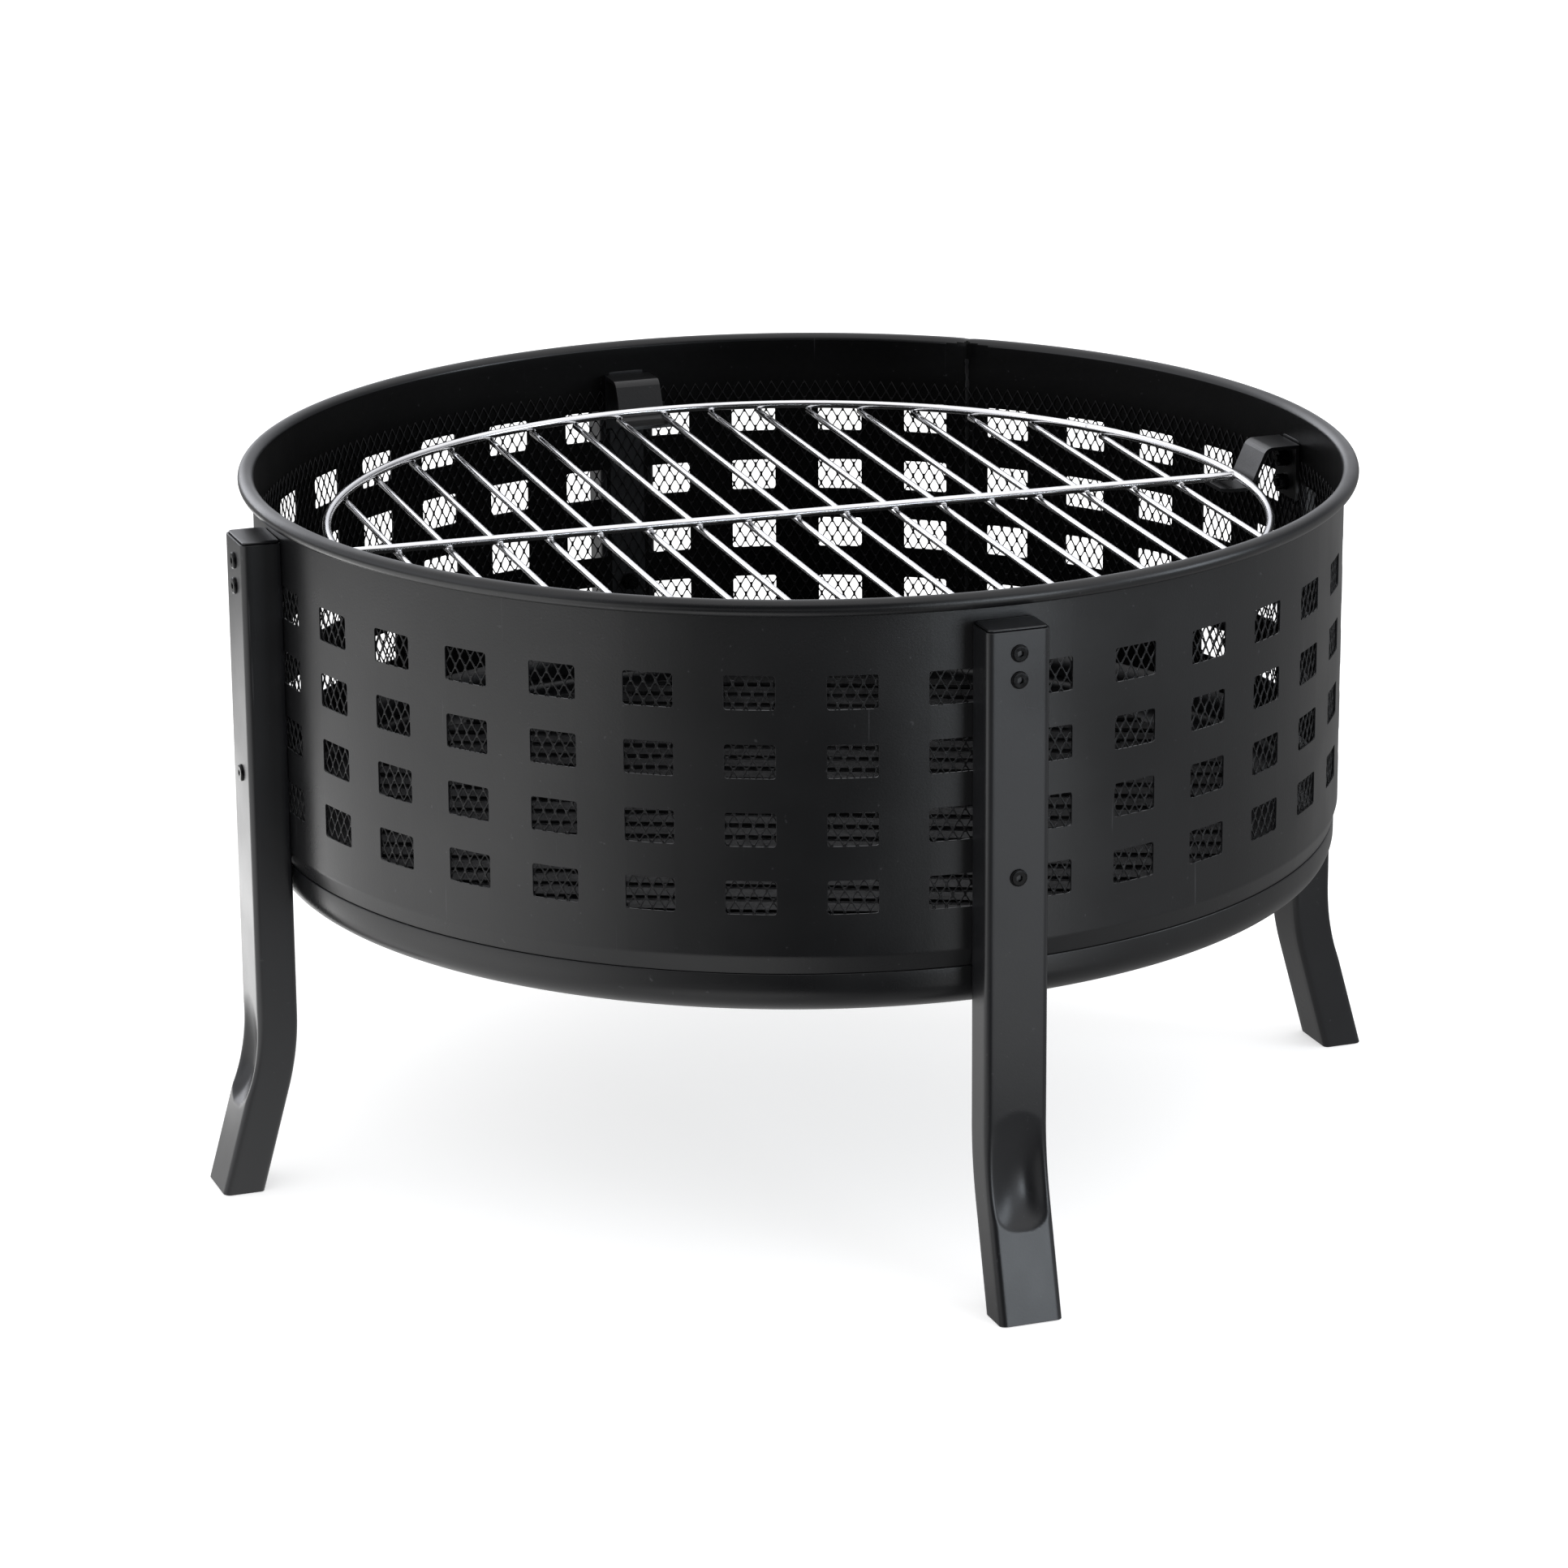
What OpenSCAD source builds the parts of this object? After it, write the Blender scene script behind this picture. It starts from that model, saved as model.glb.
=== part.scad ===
// Round fire pit on four tube legs, with a lift-out wire cooking grate and a slatted log grate.
// Frame: origin on the floor under the drum's axis, +Z up, legs on the diagonals. Millimetres.

/* [Drum] */
// Outside diameter of the drum wall
drum_d = 744; // [600:2:900]
// Floor to the top of the rolled rim
overall_h = 476; // [400:2:620]
// Floor to the underside of the base pan
ground_gap = 199; // [120:1:240]
// Sheet thickness of drum and pan
sheet_t = 1.2; // [1:0.1:2.5]
// Diameter of the rolled rim bead
bead_d = 11; // [8:0.5:16]
// Height of the tapered seam band under the wall
seam_h = 12; // [8:0.5:20]
// How far the seam band draws in
seam_draw = 3.2; // [2:0.1:4.5]

/* [Windows] */
// Windows round the drum (a multiple of four, so each leg sits between two columns)
window_cols = 36; // [28:4:44]
// Rows of windows
window_rows = 4; // [2:1:5]
// Window width as a share of the column pitch
window_w_share = 0.5; // [0.3:0.01:0.6]
// Window height as a share of the row pitch
window_h_share = 0.497; // [0.3:0.01:0.6]
// Rim to the top edge of the first row
window_top_margin = 50.7; // [40:0.5:70]
// Wall left solid under the last row
window_foot_margin = 27.8; // [15:0.5:50]

/* [Base pan] */
// Depth of the pan below the seam
pan_depth = 29.5; // [24:0.5:45]
// Radius of the pan's rolled-under edge
pan_corner = 18; // [8:0.5:22]
// How far the pan stands inside the drum wall
pan_inset = 2.5; // [1.5:0.1:3.8]

/* [Mesh liner] */
// Thickness of the liner band
liner_t = 0.8; // [0.6:0.1:2]
// Liner above the first row of windows
liner_over = 16; // [6:0.5:20]
// Liner below the last row of windows
liner_under = 6; // [3:0.5:12]

/* [Legs] */
// Tube size along the wall
leg_w = 40; // [30:1:50]
// Tube size away from the wall
leg_depth = 25; // [20:1:32]
// Tube wall
leg_t = 1.5; // [1.2:0.1:2.5]
// Rim down to the top of a leg
leg_drop = 20; // [14:0.5:30]
// Floor to the bend
bend_h = 100; // [60:1:120]
// Outward lean of the foot below the bend, degrees
flare = 15.5; // [5:0.5:22]

/* [Fasteners] */
// Thread diameter
screw_d = 6; // [5:0.5:8]
// Button head diameter
head_d = 11.5; // [9:0.5:14]
// Button head height
head_h = 3.2; // [2.5:0.1:4.5]
// Hex socket across flats
socket_af = 4; // [3:0.5:5]
// Leg top to the first screw
screw_first = 16; // [12:0.5:22]
// First screw to the second
screw_gap = 17.3; // [14:0.5:24]
// Wall's lower edge to the lowest screw
screw_low = 52.5; // [36:0.5:80]

/* [Grate brackets] */
// Strap width
strap_w = 34; // [30:1:50]
// Strap thickness
strap_t = 2.5; // [2:0.1:4]
// Air between the top washer and the flat top
strap_headroom = 4; // [2:0.5:8]
// Length of the flat top
strap_top = 18; // [14:0.5:30]
// Height from the shelf to the flat top
strap_rise = 27; // [22:0.5:34]
// Inward run of the slanted face
strap_slant = 16; // [10:0.5:22]
// Shelf length, lip included
shelf_len = 24; // [20:0.5:32]
// Rise of the lip at the shelf's tip
lip_rise = 1.2; // [0.5:0.1:2.5]

/* [Cooking grate] */
// Ring wire
ring_wire = 6; // [5:0.5:8]
// Bar wire
bar_wire = 4.5; // [3.5:0.5:6]
// Spacing of the bars
bar_pitch = 35.2; // [25:0.1:45]
// Gap from the brackets' heels to the outside of the ring
ring_gap = 7.4; // [5:0.1:10]
// How far the grate is turned on its brackets, degrees
grate_turn = -2.4; // [-2.5:0.1:2.5]

/* [Log grate] */
// Gap from the drum wall to the outside of the hoop
hoop_gap = 60; // [52:1:90]
// Hoop thickness
hoop_t = 3; // [2:0.5:5]
// Hoop height
hoop_h = 12; // [8:0.5:16]
// Slat width
slat_w = 16; // [12:0.5:20]
// Slat thickness
slat_t = 2; // [1.5:0.1:3]
// Spacing of the slats
slat_pitch = 26.6; // [24:0.1:34]
// Height of the slats over the pan floor
log_stand = 30; // [24:0.5:60]
// How far the log grate is turned in the pan, degrees
log_turn = 21; // [0:1:45]

/* [Hidden] */
$fa = 6;
$fs = 0.6;
EPS = 0.01;               // overrun of a cut
GAP = 0.3;                // air between bodies that move apart
SEAT = 0.1;               // air between fitted pieces of one body
WELD = 0.3;               // sink of welded pieces into each other
HOLE_PLAY = 0.6;          // screw hole over screw
LEG_ANGLES = [45, 135, 225, 315];
DRUM_SIDES = 180;
GRATE_SIDES = 120;
CURL_STEPS = 36;
PAN_STEPS = 10;
BEND_STEPS = 5;

drum_r = drum_d / 2;
wall_in_r = drum_r - sheet_t;
pan_r = drum_r - pan_inset;
seam_r = drum_r - seam_draw;
seam_z = ground_gap + pan_depth;
wall_z = seam_z + seam_h;
bead_x = wall_in_r + bead_d / 2;
bead_z = overall_h - bead_d / 2;
curl_end = 55;            // open angle left between the curl's end and the wall

row_band = overall_h - wall_z - window_top_margin - window_foot_margin;
row_pitch = row_band / (window_rows - 1 + window_h_share);
window_h = row_pitch * window_h_share;
col_pitch = 360 / window_cols;
window_w = 2 * drum_r * sin(col_pitch * window_w_share / 2);
window_first_z = overall_h - window_top_margin;
window_reach = 3;         // run of a window cut past both faces of the wall

pan_lap = 17.5;           // pan upstand inside the wall
pan_lip_r = seam_r - sheet_t - SEAT;
pan_lip_z = seam_z - 2 * GAP;
pan_floor_z = ground_gap + sheet_t;

liner_r = wall_in_r - SEAT;
liner_in_r = liner_r - liner_t;
liner_top = window_first_z + liner_over;
liner_foot = window_first_z - (window_rows - 1) * row_pitch - window_h - liner_under;

leg_back = drum_r + SEAT / 2;
leg_mid = leg_back + leg_depth / 2;
leg_face = leg_back + leg_depth;
leg_top = overall_h - leg_drop;
cap_t = 1.6;
plug_clear = 1.4;         // air between the plug's end and the first screw
cap_plug_h = screw_first - cap_t - screw_d / 2 - plug_clear;
cap_plug_t = 1.2;
tube_top = leg_top - cap_t;

screw_z = [leg_top - screw_first, leg_top - screw_first - screw_gap, wall_z + screw_low];
screw_hole_d = screw_d + HOLE_PLAY;
washer_d = 2 * screw_d;
washer_t = 1.6;
nut_af = screw_d * 5 / 3; // across flats, 10 on an M6 nut
nut_h = 5;
nut_play = 0.1;
screw_tail = 1.5;         // thread left past the nut
socket_depth = 2;
head_corner = 1.4;
shank_sink = 0.6;         // run of the shank into the head

flange_r = sqrt(pow(liner_in_r, 2) - pow(strap_w / 2, 2)) - SEAT;
flange_in_r = flange_r - strap_t;
flat_wall_r = sqrt(pow(liner_in_r, 2) - pow(washer_d / 2, 2)) - SEAT / 2;
strap_z = screw_z[0] + washer_d / 2 + strap_headroom + strap_t;
flange_margin = 4.2;      // flange left under the second washer
flange_foot = screw_z[1] - washer_d / 2 - flange_margin;
shelf_z = strap_z - strap_rise;
heel_r = flange_in_r - strap_top - strap_slant;
shelf_lip_len = 9;
strap_bend_r = 5;
lip_top = shelf_z + lip_rise;

ring_r = heel_r - ring_gap - ring_wire / 2;
bar_z = lip_top + GAP + bar_wire / 2;
ring_z = bar_z + bar_wire / 2 + ring_wire / 2 - WELD;
bar_side = floor((ring_r - bar_pitch / 2) / bar_pitch);
bar_overrun = 1;
cross_sink = ring_wire / 4;

hoop_r = drum_r - hoop_gap;
slat_top = pan_floor_z + log_stand;
slat_z = slat_top - slat_t;
hoop_top = slat_z + WELD;
hoop_z = hoop_top - hoop_h;
slat_side = floor((hoop_r - slat_w) / slat_pitch);
stretcher_w = 16;
stretcher_t = 3;
stretcher_share = 0.48;   // stretchers' place as a share of the hoop's radius
stretcher_at = hoop_r * stretcher_share;
foot_d = 8;
foot_r = hoop_r - hoop_t - foot_d / 2 + WELD;
foot_clear = 2.5;         // foot's top under the slats

PAINT = [0.07, 0.07, 0.075];
LEG_PAINT = [0.1, 0.105, 0.115];
OXIDE = [0.12, 0.12, 0.12];
CHROME = [0.8, 0.8, 0.82];
FIRE_STEEL = [0.2, 0.2, 0.21];

// ---- shared shapes -------------------------------------------------------

// Turns a piece drawn along +X to the leg at an angle.
module at_leg(i) {
    rotate([0, 0, LEG_ANGLES[i]])
        children();
}

// Screw holes of the legs, drawn radially from one radius to another.
module screw_bores(from, to, heights) {
    for (z = heights)
        translate([from, 0, z])
            rotate([0, 90, 0])
                cylinder(d = screw_hole_d, h = to - from);
}

function unit(v) = v / norm(v);
function normal_of(a, b) = [-unit(b - a)[1], unit(b - a)[0]];
function arc_pts(c, r, a0, a1, n) = [for (i = [0 : n]) c + r * [cos(a0 + (a1 - a0) * i / n),
    sin(a0 + (a1 - a0) * i / n)]];
function side_pts(p, d) = [for (i = [0 : len(p) - 1])
    let (n0 = normal_of(p[max(i - 1, 0)], p[max(i, 1)]),
         n1 = normal_of(p[min(i, len(p) - 2)], p[min(i + 1, len(p) - 1)]),
         m = unit(n0 + n1))
    p[i] + m * d / (m * n0)];

// Strip of one thickness to the left of a path.
module ribbon(path, t) {
    left = side_pts(path, t);
    n = len(path);
    polygon(concat(path, [for (i = [0 : n - 1]) left[n - 1 - i]]));
}

// ---- drum ----------------------------------------------------------------

// The sheet runs up the wall and curls outward; the path follows its inner face.
module drum_profile() {
    ribbon(concat([[seam_r - sheet_t, seam_z], [wall_in_r, wall_z]],
        arc_pts([bead_x, bead_z], bead_d / 2, 180, curl_end - 180, CURL_STEPS)), -sheet_t);
}

// Every window, cut through the wall only.
module window_cuts() {
    for (c = [0 : window_cols - 1], r = [0 : window_rows - 1])
        rotate([0, 0, LEG_ANGLES[0] + (c + 0.5) * col_pitch])
            translate([wall_in_r - window_reach, -window_w / 2, window_first_z - r * row_pitch - window_h])
                cube([sheet_t + 2 * window_reach, window_w, window_h]);
}

module drum_shell() {
    color(PAINT)
        difference() {
            rotate_extrude($fn = DRUM_SIDES)
                drum_profile();
            window_cuts();
            for (i = [0 : 3])
                at_leg(i)
                    screw_bores(wall_in_r - sheet_t, drum_r + sheet_t, screw_z);
        }
}

// Floor, rolled-under edge, side band, shoulder and upstand of the pan in one outline.
module pan_profile() {
    arc_c = [pan_r - pan_corner, ground_gap + pan_corner];
    polygon(concat([[0, ground_gap]], arc_pts(arc_c, pan_corner, -90, 0, PAN_STEPS),
        [[pan_r, pan_lip_z], [pan_lip_r, pan_lip_z], [pan_lip_r, pan_lip_z + pan_lap],
         [pan_lip_r - sheet_t, pan_lip_z + pan_lap], [pan_lip_r - sheet_t, pan_lip_z - sheet_t],
         [pan_r - sheet_t, pan_lip_z - sheet_t]],
        arc_pts(arc_c, pan_corner - sheet_t, 0, -90, PAN_STEPS), [[0, pan_floor_z]]));
}

module base_pan() {
    color(PAINT)
        rotate_extrude($fn = DRUM_SIDES)
            pan_profile();
}

module mesh_liner() {
    color(OXIDE)
        difference() {
            rotate_extrude($fn = DRUM_SIDES)
                translate([liner_in_r, liner_foot])
                    square([liner_t, liner_top - liner_foot]);
            for (i = [0 : 3])
                at_leg(i)
                    screw_bores(liner_in_r - liner_t, liner_r + liner_t, screw_z);
        }
}

// ---- legs ----------------------------------------------------------------

// Side outline of the bent tube, shrunk by an amount and run past its ends.
module leg_side(shrink, over) {
    back = leg_back + shrink;
    face = leg_face - shrink;
    back_bend = bend_h + tan(flare / 2) * (back - leg_mid);
    face_bend = bend_h + tan(flare / 2) * (face - leg_mid);
    polygon([[back, tube_top + over], [back, back_bend],
        [back + (back_bend + over) * tan(flare), -over],
        [face + (face_bend + over) * tan(flare), -over],
        [face, face_bend], [face, tube_top + over]]);
}

module leg_bar(shrink, over) {
    translate([0, leg_w / 2 - shrink, 0])
        rotate([90, 0, 0])
            linear_extrude(leg_w - 2 * shrink)
                leg_side(shrink, over);
}

module leg_tube(i) {
    color(LEG_PAINT)
        at_leg(i)
            difference() {
                leg_bar(0, 0);
                leg_bar(leg_t, leg_t);
                screw_bores(leg_back - leg_t, leg_face + leg_t, screw_z);
            }
}

module leg_cap(i) {
    plug_w = leg_w - 2 * (leg_t + SEAT);
    plug_d = leg_depth - 2 * (leg_t + SEAT);
    color(PAINT)
        at_leg(i)
            translate([leg_mid, 0, 0]) {
                translate([0, 0, tube_top])
                    linear_extrude(cap_t)
                        square([leg_depth, leg_w], center = true);
                translate([0, 0, tube_top - cap_plug_h])
                    linear_extrude(cap_plug_h)
                        difference() {
                            square([plug_d, plug_w], center = true);
                            square([plug_d - 2 * cap_plug_t, plug_w - 2 * cap_plug_t], center = true);
                        }
            }
}

// ---- brackets and fasteners ----------------------------------------------

// Outline of the strap's lower face, from the flange's foot to the tip of the shelf.
function strap_path() =
    let (lower_z = strap_z - strap_t,
         knee = [flange_in_r - strap_top, lower_z],
         heel = [heel_r, shelf_z - strap_t],
         lean = atan2(knee[1] - heel[1], knee[0] - heel[0]),
         heel_bend_r = strap_bend_r + strap_t,
         heel_run = heel_bend_r * tan(lean / 2))
    concat([[flange_in_r, flange_foot], [flange_in_r, lower_z]],
        arc_pts(knee + [0, -strap_bend_r], strap_bend_r, 90, 90 + lean, BEND_STEPS),
        arc_pts(heel + [-heel_run, heel_bend_r], heel_bend_r, lean - 90, -90, BEND_STEPS),
        [[heel[0] - shelf_len + shelf_lip_len, heel[1]],
         [heel[0] - shelf_len, heel[1] + lip_rise]]);

module bracket(i) {
    color(PAINT)
        at_leg(i)
            difference() {
                translate([0, strap_w / 2, 0])
                    rotate([90, 0, 0])
                        linear_extrude(strap_w)
                            ribbon([for (j = [1 : len(strap_path())])
                                strap_path()[len(strap_path()) - j]], strap_t);
                screw_bores(flange_in_r - strap_t, flange_r + strap_t, [screw_z[0], screw_z[1]]);
            }
}

// Radius of the face that a washer bears on, for screw number n from the top.
function washer_seat(n) = n < 2 ? flange_in_r : flat_wall_r;

module screw(n) {
    tip = washer_seat(n) - washer_t - nut_h - screw_tail;
    translate([0, 0, screw_z[n]])
        rotate([0, 90, 0]) {
            translate([0, 0, tip])
                cylinder(d = screw_d, h = leg_face + shank_sink - tip);
            translate([0, 0, leg_face])
                difference() {
                    rotate_extrude() {
                        square([head_d / 2 - head_corner, head_h]);
                        square([head_d / 2, head_h - head_corner]);
                        translate([head_d / 2 - head_corner, head_h - head_corner])
                            intersection() {
                                circle(r = head_corner);
                                square(head_corner);
                            }
                    }
                    translate([0, 0, head_h - socket_depth])
                        cylinder(d = socket_af / cos(30), h = socket_depth + EPS, $fn = 6);
                }
        }
}

module leg_screws(i) {
    color(OXIDE)
        at_leg(i)
            for (n = [0 : 2])
                screw(n);
}

module leg_washers(i) {
    color(OXIDE)
        at_leg(i)
            for (n = [0 : 2])
                translate([washer_seat(n) - washer_t, 0, screw_z[n]])
                    rotate([0, 90, 0])
                        difference() {
                            cylinder(d = washer_d, h = washer_t);
                            translate([0, 0, -EPS])
                                cylinder(d = screw_d + nut_play, h = washer_t + 2 * EPS);
                        }
}

module leg_nuts(i) {
    color(OXIDE)
        at_leg(i)
            for (n = [0 : 2])
                translate([washer_seat(n) - washer_t - nut_h, 0, screw_z[n]])
                    rotate([0, 90, 0])
                        difference() {
                            cylinder(d = nut_af / cos(30), h = nut_h, $fn = 6);
                            translate([0, 0, -EPS])
                                cylinder(d = screw_d + nut_play, h = nut_h + 2 * EPS);
                        }
}

// ---- cooking grate -------------------------------------------------------

module at_grate() {
    rotate([0, 0, LEG_ANGLES[0] + grate_turn])
        children();
}

module grate_ring() {
    color(CHROME)
        translate([0, 0, ring_z])
            rotate_extrude($fn = GRATE_SIDES)
                translate([ring_r, 0])
                    circle(d = ring_wire);
}

module grate_bars() {
    color(CHROME)
        at_grate()
            for (k = [-bar_side : bar_side]) {
                half = sqrt(pow(ring_r + bar_overrun, 2) - pow(k * bar_pitch, 2));
                translate([k * bar_pitch, half, bar_z])
                    rotate([90, 0, 0])
                        cylinder(d = bar_wire, h = 2 * half);
            }
}

module grate_cross_bar() {
    half = ring_r - cross_sink;
    color(CHROME)
        at_grate()
            translate([-half, 0, ring_z])
                rotate([0, 90, 0])
                    cylinder(d = ring_wire, h = 2 * half);
}

// ---- log grate -----------------------------------------------------------

module at_log() {
    rotate([0, 0, log_turn])
        children();
}

module log_hoop() {
    color(FIRE_STEEL)
        translate([0, 0, hoop_z])
            rotate_extrude($fn = GRATE_SIDES)
                translate([hoop_r - hoop_t, 0])
                    square([hoop_t, hoop_h]);
}

module log_slats() {
    color(FIRE_STEEL)
        at_log()
            intersection() {
                for (k = [-slat_side : slat_side])
                    translate([-hoop_r, k * slat_pitch - slat_w / 2, slat_z])
                        cube([2 * hoop_r, slat_w, slat_t]);
                translate([0, 0, slat_z - slat_t])
                    cylinder(r = hoop_r - WELD, h = 3 * slat_t, $fn = GRATE_SIDES);
            }
}

module log_stretchers() {
    half = sqrt(pow(hoop_r - hoop_t / 2, 2) - pow(stretcher_at + stretcher_w / 2, 2));
    color(FIRE_STEEL)
        at_log()
            for (s = [-1, 1])
                translate([s * stretcher_at - stretcher_w / 2, -half, slat_z + WELD - stretcher_t])
                    cube([stretcher_w, 2 * half, stretcher_t]);
}

module log_feet() {
    color(FIRE_STEEL)
        at_log()
            for (a = LEG_ANGLES)
                rotate([0, 0, a])
                    translate([foot_r, 0, pan_floor_z + GAP])
                        cylinder(d = foot_d, h = slat_z - foot_clear - pan_floor_z - GAP);
}

// ---- named sub-parts -----------------------------------------------------

module leg_back_right() leg_tube(0);
module leg_back_left() leg_tube(1);
module leg_front_left() leg_tube(2);
module leg_front_right() leg_tube(3);
module cap_back_right() leg_cap(0);
module cap_back_left() leg_cap(1);
module cap_front_left() leg_cap(2);
module cap_front_right() leg_cap(3);
module bracket_back_right() bracket(0);
module bracket_back_left() bracket(1);
module bracket_front_left() bracket(2);
module bracket_front_right() bracket(3);
module screws_back_right() leg_screws(0);
module screws_back_left() leg_screws(1);
module screws_front_left() leg_screws(2);
module screws_front_right() leg_screws(3);
module washers_back_right() leg_washers(0);
module washers_back_left() leg_washers(1);
module washers_front_left() leg_washers(2);
module washers_front_right() leg_washers(3);
module nuts_back_right() leg_nuts(0);
module nuts_back_left() leg_nuts(1);
module nuts_front_left() leg_nuts(2);
module nuts_front_right() leg_nuts(3);

drum_shell();
base_pan();
mesh_liner();
leg_back_right();
leg_back_left();
leg_front_left();
leg_front_right();
cap_back_right();
cap_back_left();
cap_front_left();
cap_front_right();
bracket_back_right();
bracket_back_left();
bracket_front_left();
bracket_front_right();
screws_back_right();
screws_back_left();
screws_front_left();
screws_front_right();
washers_back_right();
washers_back_left();
washers_front_left();
washers_front_right();
nuts_back_right();
nuts_back_left();
nuts_front_left();
nuts_front_right();
grate_ring();
grate_bars();
grate_cross_bar();
log_hoop();
log_slats();
log_stretchers();
log_feet();
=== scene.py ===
"""Looks of the round fire pit: painted drum, expanded-metal liner, tube legs, wire and log grates."""
import math
import random

import bpy
from mathutils import Matrix, Vector


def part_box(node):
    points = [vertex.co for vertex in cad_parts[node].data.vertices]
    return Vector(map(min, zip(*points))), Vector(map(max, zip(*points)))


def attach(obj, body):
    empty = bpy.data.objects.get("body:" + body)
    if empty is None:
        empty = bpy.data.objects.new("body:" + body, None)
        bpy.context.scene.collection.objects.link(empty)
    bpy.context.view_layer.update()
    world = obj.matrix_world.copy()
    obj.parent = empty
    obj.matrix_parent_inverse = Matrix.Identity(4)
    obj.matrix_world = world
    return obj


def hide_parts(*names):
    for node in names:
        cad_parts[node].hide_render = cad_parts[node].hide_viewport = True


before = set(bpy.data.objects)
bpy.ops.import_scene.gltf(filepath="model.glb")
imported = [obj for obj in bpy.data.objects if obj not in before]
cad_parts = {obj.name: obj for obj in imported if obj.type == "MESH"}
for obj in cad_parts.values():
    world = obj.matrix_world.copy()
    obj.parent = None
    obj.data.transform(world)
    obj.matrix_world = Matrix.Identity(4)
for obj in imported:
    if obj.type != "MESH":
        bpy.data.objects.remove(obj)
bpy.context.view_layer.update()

LEGS = {"back_right": 45, "back_left": 135, "front_left": 225, "front_right": 315}
SEED = 11

# ---- sizes in metres, outside what the frame's boxes give -----------------

SHEET = 0.0012            # drum and pan sheet
BEAD_R = 0.0055           # rolled rim, outside radius
CURL_END = -125           # angle at which the rim's curl stops, degrees
WINDOW_COLS = 36
WINDOW_ROWS = 4
WINDOW_W_SHARE = 0.5      # of the column pitch
WINDOW_H = 0.0223
ROW_PITCH = 0.0449
FIRST_ROW_TOP = 0.0507    # rim down to the first row
WINDOW_CORNER = 0.0018
SEAM_H = 0.012
SEAM_DRAW = 0.0032
WELD_ANGLE = 95           # where the drum's sheet is joined, degrees
RIM_DENT = 0.0017         # depth of the crease that the joint leaves in the rim
SEAM_WELD_HALF_W = 0.0016
SEAM_WELD_H = 0.00035

DIAMOND_COLS = 284
DIAMOND_HALF_ROWS = 24
STRAND = 0.00034          # half a strand's width
STRAND_TILT = 0.00022     # how far a strand's edge stands out of the sheet

LEG_W = 0.040
LEG_DEPTH = 0.025
LEG_T = 0.0015
LEG_CORNER = 0.003
BEND_Z = 0.100
BEND_RUN = 0.026          # half the height over which the tube curves
FLARE = math.radians(15.5)
LEG_SEAT = 0.00005        # air between the drum's wall and a leg
BEND_TOP = 0.145          # the leg's mesh is fine from here down to FOOT_TOP
FOOT_TOP = 0.040
FOOT_END = 0.0004         # lowest ring, so the wall's thickness ends at the floor
DENT_HALF_W = 0.0198
DENT_LOW = 0.0585
DENT_HIGH = 0.136
DENT_DEPTH = 0.0076
DENT_STEP = 0.0003        # each leg's dent is a little deeper than the one before
DENT_LEAN = (1, -1, -1, 1)    # side on which each leg's dent is deeper
CAP_T = 0.0016
CAP_PLUG_H = 0.010
CAP_PLUG_INSET = 0.0017

PAN_CORNER = 0.018
PAN_LIP_INSET = 0.002
PAN_LIP_GAP = 0.0006      # fold below the drum's seam
PAN_FOLD = 0.0007
LINER_T = 0.0007

RING_WIRE_R = 0.003
BAR_WIRE_R = 0.00225
BAR_PITCH = 0.0352
GRATE_TURN = math.radians(42.6)
BAR_SIDE = 8              # bars on each side of the middle one
# Half sizes of the weld beads: along, across and up.
RING_WELD = (0.0022, 0.0008, 0.0008)
BAR_WELD = (0.0017, 0.0008, 0.0008)
CROSS_WELD = (0.0034, 0.0018, 0.0031)
BUTT_WELD = (0.0032, 0.0034, 0.0034)
BUTT_WELD_ANGLE = 74      # where the ring's own ends are joined, degrees


# ---- mesh helpers -----------------------------------------------------------

def polar(r, degrees, z):
    a = math.radians(degrees)
    return (r * math.cos(a), r * math.sin(a), z)


def smooth(x):
    x = min(max(x, 0.0), 1.0)
    return x * x * (3 - 2 * x)


def piece(name, verts, faces, mat, body, slot, *nodes):
    """Makes a smooth-shaded mesh that rides on a body and stands for CAD nodes; the slot argument is not
    used.
    """
    mesh = bpy.data.meshes.new(name)
    mesh.from_pydata(verts, [], faces)
    mesh.validate()
    mesh.shade_smooth()
    obj = bpy.data.objects.new(name, mesh)
    bpy.context.scene.collection.objects.link(obj)
    mesh.materials.append(mat)
    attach(obj, body)
    if nodes:
        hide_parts(*nodes)
    return obj


def thicken(obj, thickness):
    m = obj.modifiers.new("thickness", "SOLIDIFY")
    m.thickness = thickness
    m.offset = -1


def soften(obj, width, segments=2, angle=35):
    m = obj.modifiers.new("edges", "BEVEL")
    m.width = width
    m.segments = segments
    m.limit_method = "ANGLE"
    m.angle_limit = math.radians(angle)
    m.harden_normals = True
    m.use_clamp_overlap = True


def arc(cx, cy, r, start, end, steps):
    """Points of an arc in a plane, angles in degrees."""
    out = []
    for i in range(steps + 1):
        a = math.radians(start + (end - start) * i / steps)
        out.append((cx + r * math.cos(a), cy + r * math.sin(a)))
    return out


def grid_faces(rows, cols, closed=True, flip=False):
    """Quads of a grid of rows by cols vertices; closed joins the last column to the first."""
    faces = []
    for i in range(rows - 1):
        for j in range(cols if closed else cols - 1):
            k = (j + 1) % cols
            quad = (i * cols + j, i * cols + k, (i + 1) * cols + k, (i + 1) * cols + j)
            faces.append(quad[::-1] if flip else quad)
    return faces


def add_part(verts, faces, more_verts, more_faces):
    base = len(verts)
    verts.extend(more_verts)
    faces.extend(tuple(base + i for i in f) for f in more_faces)


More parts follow.
